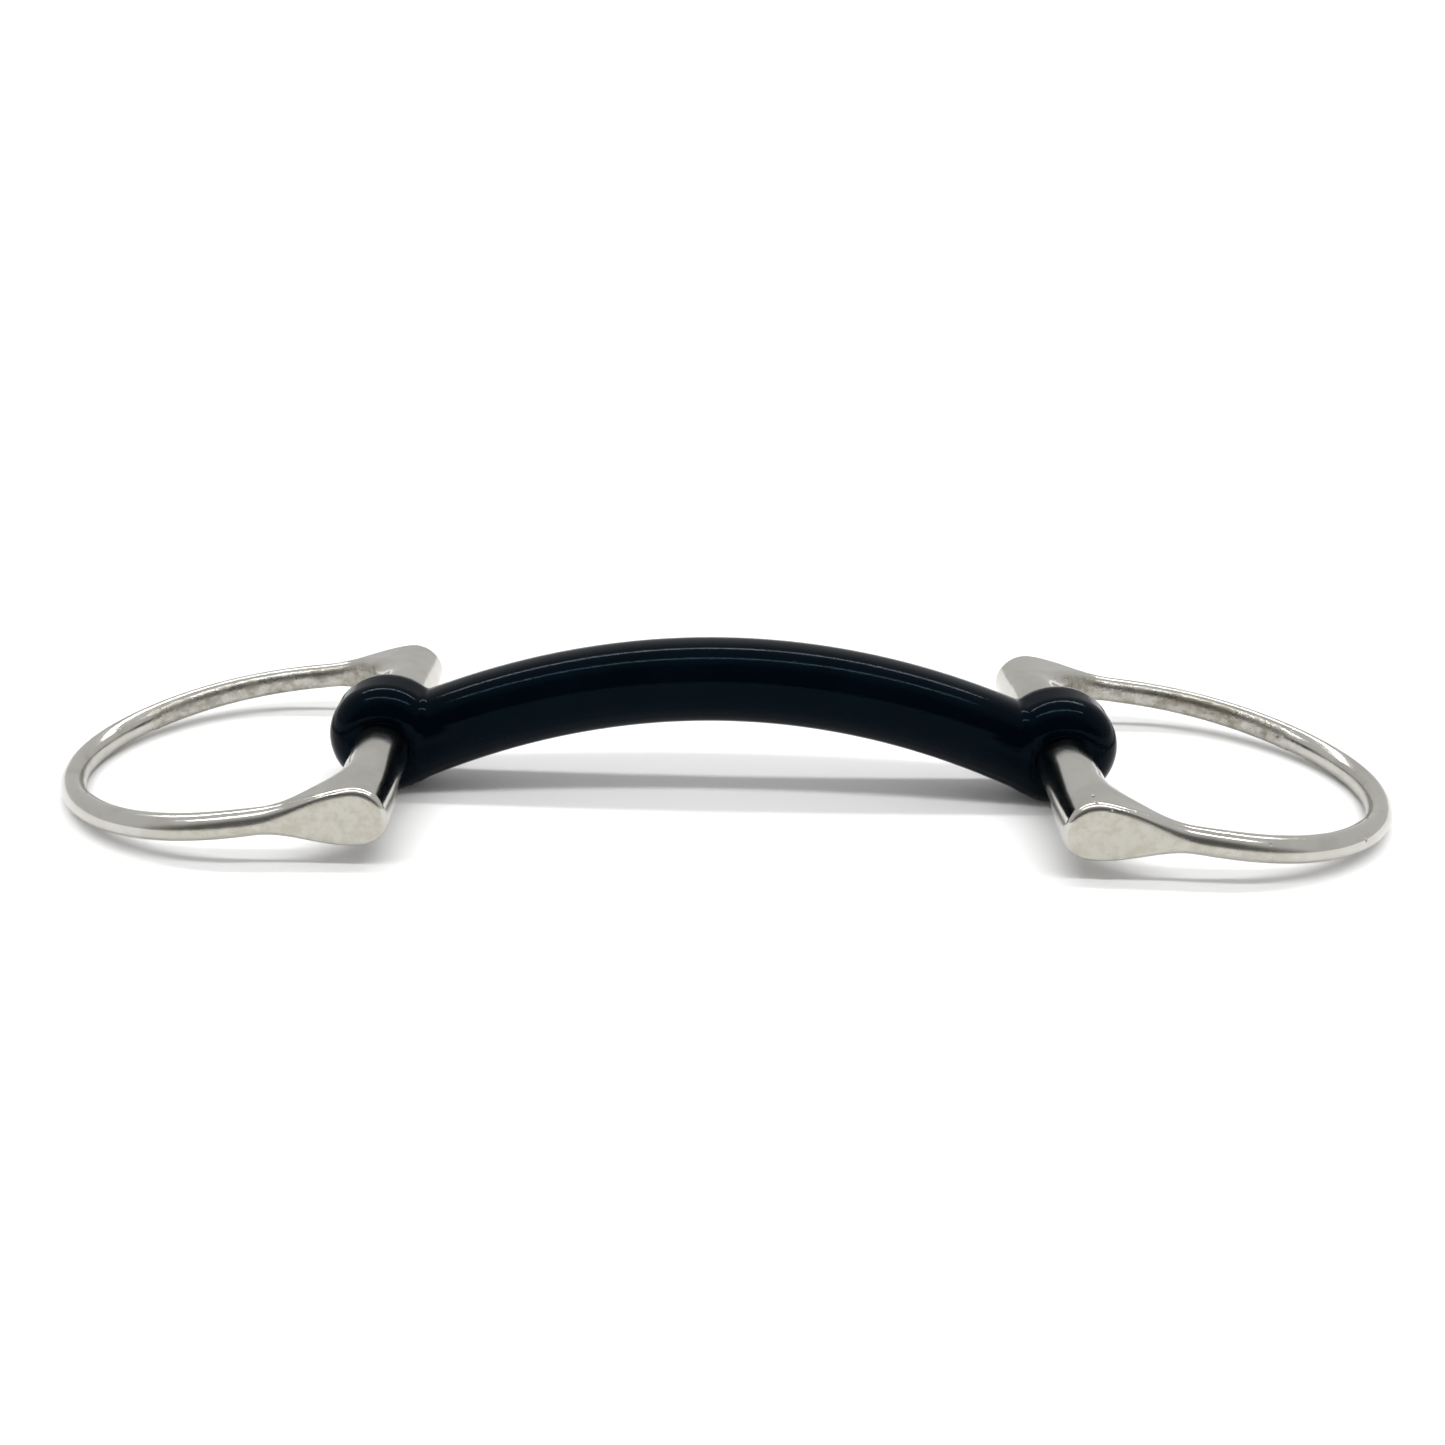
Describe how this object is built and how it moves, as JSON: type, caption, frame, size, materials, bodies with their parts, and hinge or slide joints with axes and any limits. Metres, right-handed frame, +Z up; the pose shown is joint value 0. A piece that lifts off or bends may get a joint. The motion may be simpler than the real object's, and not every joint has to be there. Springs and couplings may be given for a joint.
{
  "type": "eggbutt snaffle bit",
  "caption": "Horse bit with a black moulded arched bar mouthpiece hinged to polished steel egg-shaped rings.",
  "frame": {"origin": "on the floor under the middle of the mouthpiece, at the centre of the bounding box's base", "axes": "+X along the mouthpiece towards the right ring, +Y along the hinge pins away from the near bosses, +Z up"},
  "size_m": [0.3048, 0.08, 0.0371],
  "materials": {
    "moulding": "hard moulded rubber, semi-gloss",
    "steel": "plain turned steel",
    "polished_steel": "cast stainless steel, polished, with light pitting"
  },
  "bodies": {
    "mouthpiece": {"mouthpiece_cover": "moulding", "core_bar": "steel", "left_sleeve": "steel", "right_sleeve": "steel"},
    "left_cheek": {"left_cheek": "polished_steel", "left_hinge_pin": "polished_steel"},
    "right_cheek": {"right_cheek": "polished_steel", "right_hinge_pin": "polished_steel"}
  },
  "joints": [
    {"name": "left_hinge", "type": "hinge", "parent": "mouthpiece", "child": "left_cheek", "pos_m": [-0.0765, 0, 0.0131], "axis": [0, 1, 0], "range_deg": [-160, 163]},
    {"name": "right_hinge", "type": "hinge", "parent": "mouthpiece", "child": "right_cheek", "pos_m": [0.0765, 0, 0.0131], "axis": [0, -1, 0], "range_deg": [-160, 163]}
  ]
}
